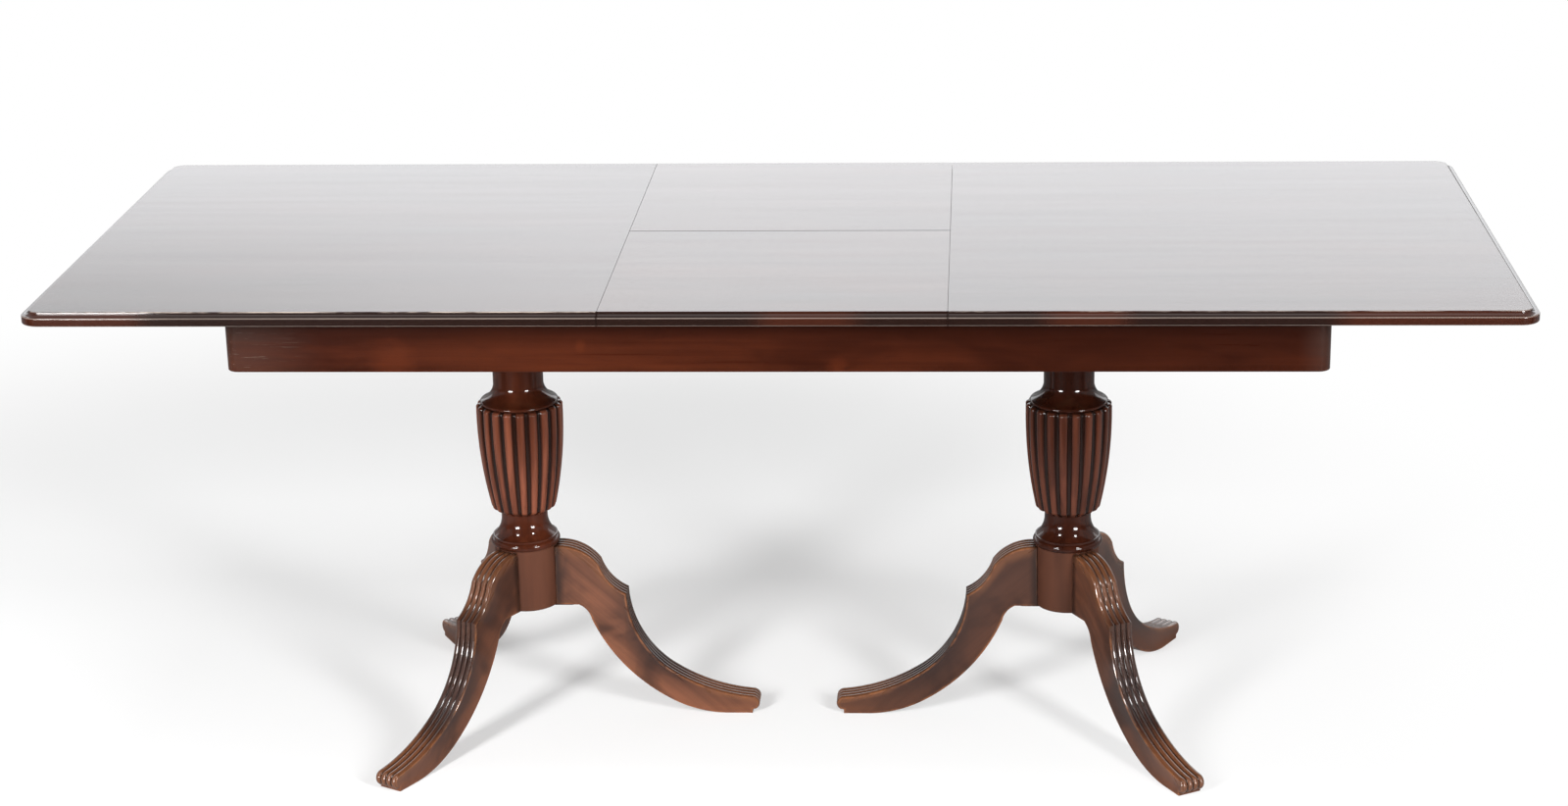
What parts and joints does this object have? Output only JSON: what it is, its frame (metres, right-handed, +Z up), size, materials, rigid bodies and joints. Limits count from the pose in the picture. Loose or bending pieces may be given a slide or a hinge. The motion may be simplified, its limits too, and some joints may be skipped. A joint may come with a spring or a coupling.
{
  "type": "double pedestal dining table",
  "caption": "Extending dining table on twin turned pedestals with reeded urns and splayed sabre legs; sliding tops part round a folding self-storing leaf.",
  "frame": {"origin": "on the floor under the middle of the table", "axes": "+X along the table, +Y from the front to the back, +Z up"},
  "size_m": [2.04, 0.846, 0.76],
  "materials": {
    "top_mahogany": "dark red-brown mahogany under a high-gloss clear polish",
    "apron_mahogany": "dark red-brown mahogany, long grain, gloss polish",
    "column_mahogany": "turned dark mahogany, gloss polish",
    "leg_mahogany": "dark mahogany with lighter worn arrises, satin polish",
    "frame_beech": "stained secondary hardwood, unpolished",
    "runner_beech": "waxed secondary hardwood",
    "lift_steel": "bright zinc-plated steel",
    "brace_steel": "dark lacquered steel plate",
    "screw_steel": "zinc-plated fasteners",
    "hinge_brass": "solid brass"
  },
  "bodies": {
    "frame": {"bearer_left": "frame_beech", "bearer_right": "frame_beech", "brace_plate_left": "brace_steel", "brace_plate_right": "brace_steel", "brace_screws_left": "screw_steel", "brace_screws_right": "screw_steel", "cleat_bolts_left": "screw_steel", "cleat_bolts_right": "screw_steel", "cleat_left": "frame_beech", "cleat_nuts_left": "screw_steel", "cleat_nuts_right": "screw_steel", "cleat_right": "frame_beech", "column_left": "column_mahogany", "column_right": "column_mahogany", "corner_blocks": "frame_beech", "end_rail_left": "apron_mahogany", "end_rail_right": "apron_mahogany", "front_rail": "apron_mahogany", "leg_left_front": "leg_mahogany", "leg_left_inner": "leg_mahogany", "leg_left_rear": "leg_mahogany", "leg_right_front": "leg_mahogany", "leg_right_inner": "leg_mahogany", "leg_right_rear": "leg_mahogany", "rear_rail": "apron_mahogany", "well_bearer_left": "frame_beech", "well_bearer_right": "frame_beech"},
    "top_left": {"runner_left_front": "runner_beech", "runner_left_rear": "runner_beech", "runner_screws_left": "screw_steel", "top_left": "top_mahogany"},
    "top_right": {"runner_right_front": "runner_beech", "runner_right_rear": "runner_beech", "runner_screws_right": "screw_steel", "top_right": "top_mahogany"},
    "front_arms": {"front_arm_left": "lift_steel", "front_arm_right": "lift_steel", "front_shaft": "lift_steel"},
    "rear_arms": {"rear_arm_left": "lift_steel", "rear_arm_right": "lift_steel", "rear_shaft": "lift_steel"},
    "leaf_rear": {"bracket_screws": "screw_steel", "fold_hinges_rear": "hinge_brass", "leaf_brackets": "lift_steel", "leaf_rear": "top_mahogany"},
    "leaf_front": {"fold_hinges_front": "hinge_brass", "leaf_front": "top_mahogany"}
  },
  "joints": [
    {"name": "top_left_slide", "type": "slide", "parent": "frame", "child": "top_left", "axis": [-1, 0, 0], "range_m": [0, 0.05]},
    {"name": "top_right_slide", "type": "slide", "parent": "frame", "child": "top_right", "axis": [1, 0, 0], "range_m": [0, 0.05]},
    {"name": "leaf_stow", "type": "hinge", "parent": "frame", "child": "front_arms", "pos_m": [0, 0.02153, 0.6795], "axis": [1, 0, 0], "range_deg": [0, 148.8]},
    {"name": "rear_arm_swing", "type": "hinge", "parent": "frame", "child": "rear_arms", "pos_m": [0, 0.22053, 0.6795], "axis": [1, 0, 0], "range_deg": [0, 148.8]},
    {"name": "leaf_level", "type": "hinge", "parent": "front_arms", "child": "leaf_rear", "pos_m": [0, 0.121, 0.7315], "axis": [1, 0, 0], "range_deg": [-148.8, 0]},
    {"name": "leaf_fold", "type": "hinge", "parent": "leaf_rear", "child": "leaf_front", "pos_m": [0, 0, 0.76], "axis": [-1, 0, 0], "range_deg": [0, 179.6]}
  ],
  "couplings": [
    {"joint": "rear_arm_swing", "follows": "leaf_stow", "ratio": 1},
    {"joint": "leaf_level", "follows": "leaf_stow", "ratio": -1},
    {"joint": "leaf_fold", "follows": "leaf_stow", "ratio": 1.206}
  ]
}
